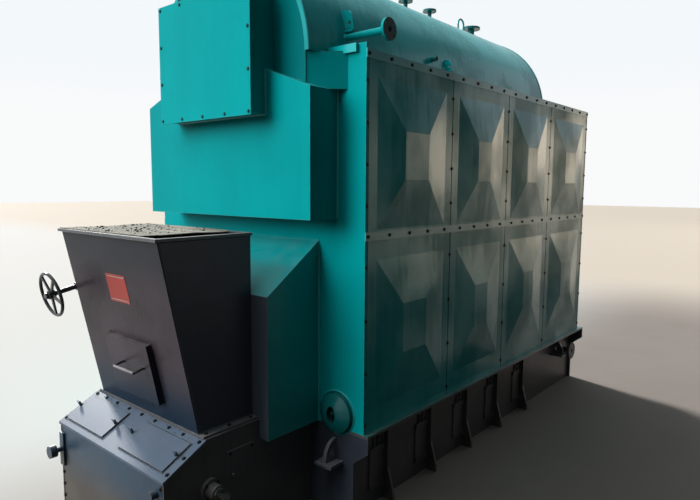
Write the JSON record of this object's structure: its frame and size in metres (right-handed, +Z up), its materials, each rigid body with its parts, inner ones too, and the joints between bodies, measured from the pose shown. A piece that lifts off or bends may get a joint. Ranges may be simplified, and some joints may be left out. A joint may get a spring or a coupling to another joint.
{
  "type": "packaged chain-grate steam boiler",
  "caption": "Coal-fired packaged boiler: hinged-door hopper and grate housing in front, pressed-panel casing on a ribbed base, round drum with flanged nozzles on top.",
  "frame": {"origin": "bottom centre of the whole boiler, on the floor", "axes": "+X to the right seen from the firing end, +Y to the rear along the drum, +Z up"},
  "size_m": [1.9, 4.298, 3.3318],
  "materials": {
    "casing_teal": "glossy teal paint",
    "fitting_grey": "semi-gloss dark grey paint",
    "base_black": "semi-gloss black paint",
    "cover_grey": "satin blue-grey paint",
    "bare_steel": "turned, lightly oiled"
  },
  "bodies": {
    "boiler": {"base_side_right": "base_black", "base_side_left": "base_black", "base_front_plate": "base_black", "base_rear_plate": "base_black", "sill_rails": "base_black", "ash_doors": "base_black", "tow_lugs": "base_black", "drain_pipe": "base_black", "grate_housing": "base_black", "housing_side_plates": "base_black", "housing_front_plate": "fitting_grey", "slanted_cover": "cover_grey", "hatch_plates": "cover_grey", "shaft_bearings": "fitting_grey", "hopper_front": "fitting_grey", "hopper_shell": "fitting_grey", "hopper_rim": "cover_grey", "hopper_base_flange": "cover_grey", "hopper_cover": "cover_grey", "door_hinge": "fitting_grey", "spindle_brackets": "fitting_grey", "arch_box": "casing_teal", "front_wall": "casing_teal", "drum_front_head": "casing_teal", "smoke_box": "casing_teal", "upper_smoke_box": "casing_teal", "smoke_box_lid": "casing_teal", "casing_frame": "casing_teal", "right_upper_panels": "casing_teal", "right_lower_panels": "casing_teal", "left_upper_panels": "casing_teal", "left_lower_panels": "casing_teal", "edge_strips": "casing_teal", "rear_wall": "casing_teal", "roof_plates": "casing_teal", "drum_shell": "casing_teal", "drum_rear_head": "casing_teal", "steam_nozzles": "casing_teal", "drum_lugs": "casing_teal", "feed_pipe": "casing_teal", "headers": "casing_teal"},
    "hopper_door": {"hopper_door": "fitting_grey"},
    "gate_wheel": {"gate_handwheel": "base_black", "gate_spindle": "base_black"},
    "grate_shaft": {"grate_shaft": "bare_steel"}
  },
  "joints": [
    {"name": "hopper_door_hinge", "type": "hinge", "parent": "boiler", "child": "hopper_door", "pos_m": [-0.211, -1.90483, 0.87027], "axis": [0, 0.2016, -0.9795], "range_deg": [0, 110]},
    {"name": "gate_wheel_turn", "type": "hinge", "parent": "boiler", "child": "gate_wheel", "pos_m": [-0.53, -2.08159, 1.21318], "axis": [0, 0.9795, 0.2016], "continuous": true},
    {"name": "grate_shaft_turn", "type": "hinge", "parent": "boiler", "child": "grate_shaft", "pos_m": [0, -1.819, 0.35], "axis": [1, 0, 0], "continuous": true}
  ]
}
